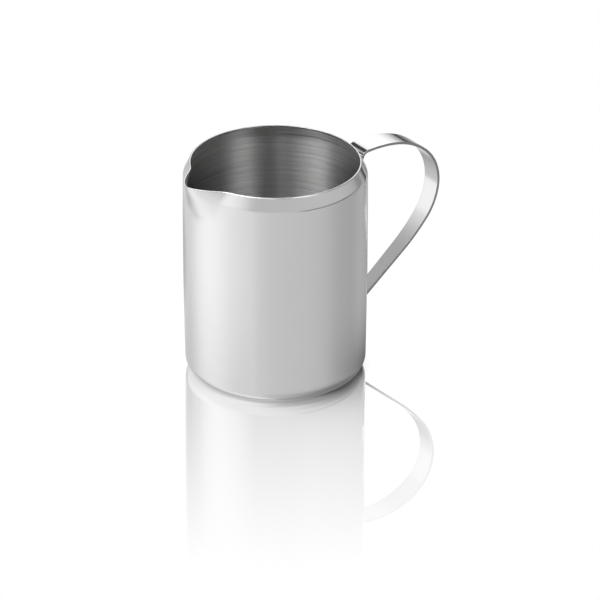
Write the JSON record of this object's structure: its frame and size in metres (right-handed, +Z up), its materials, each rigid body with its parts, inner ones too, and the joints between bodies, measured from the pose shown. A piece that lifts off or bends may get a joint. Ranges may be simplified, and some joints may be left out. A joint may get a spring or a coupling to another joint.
{
  "type": "cream jug",
  "caption": "Small round steel jug with a coned shoulder, a pressed pouring lip and an open flat-strap handle.",
  "frame": {"origin": "centre of the flat base, on the surface the jug stands on", "axes": "+Z up along the cup's axis, +X out along the handle, -X out along the pouring lip"},
  "size_m": [0.1137, 0.07, 0.0857],
  "materials": {
    "cup_steel": "polished outside, turned satin inside",
    "strap_steel": "polished, with broken edges",
    "weld_bead": "dressed braze"
  },
  "bodies": {
    "root": {"jug_body": "cup_steel", "handle_strap": "strap_steel", "upper_weld": "weld_bead", "lower_weld": "weld_bead"}
  },
  "joints": []
}
